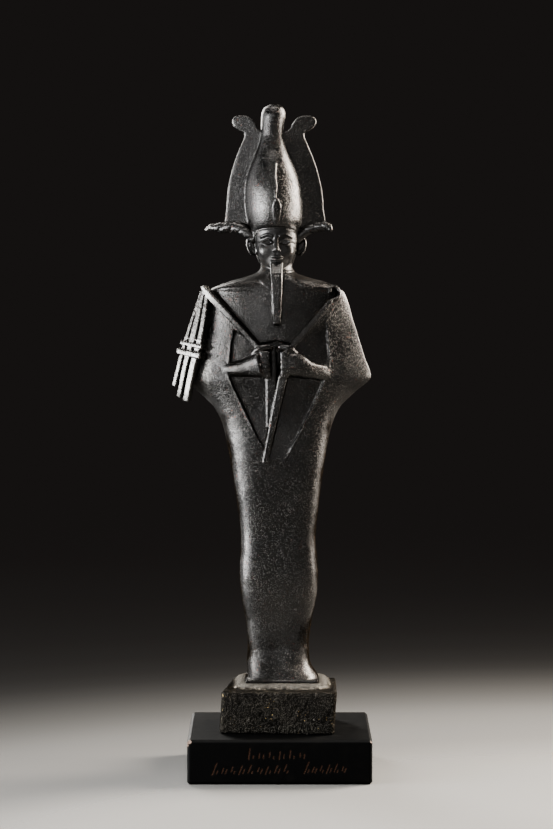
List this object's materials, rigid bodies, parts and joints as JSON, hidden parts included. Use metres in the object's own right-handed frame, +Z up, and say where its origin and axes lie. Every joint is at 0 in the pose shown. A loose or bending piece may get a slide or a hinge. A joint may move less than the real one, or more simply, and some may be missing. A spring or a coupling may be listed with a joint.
{
  "type": "cast bronze standing deity figure",
  "caption": "Cast bronze mummiform god with a plumed crown, crook and flail, on a rough bronze plinth and a black painted wooden stand.",
  "frame": {"origin": "middle of the wooden stand's underside", "axes": "+Z up, the figure looks along -Y, +X is on the viewer's right as the viewer faces the figure"},
  "size_m": [0.0992, 0.082, 0.3344],
  "materials": {
    "figure_bronze": "dark brown patina, rubbed to a soft shine",
    "plinth_bronze": "rough dark brown cast surface with earth in its pits",
    "stand_paint": "black paint, half gloss, chipped at its corners"
  },
  "bodies": {
    "root": {"osiris_figure": "figure_bronze", "bronze_plinth": "plinth_bronze", "wooden_stand": "stand_paint"}
  },
  "joints": []
}
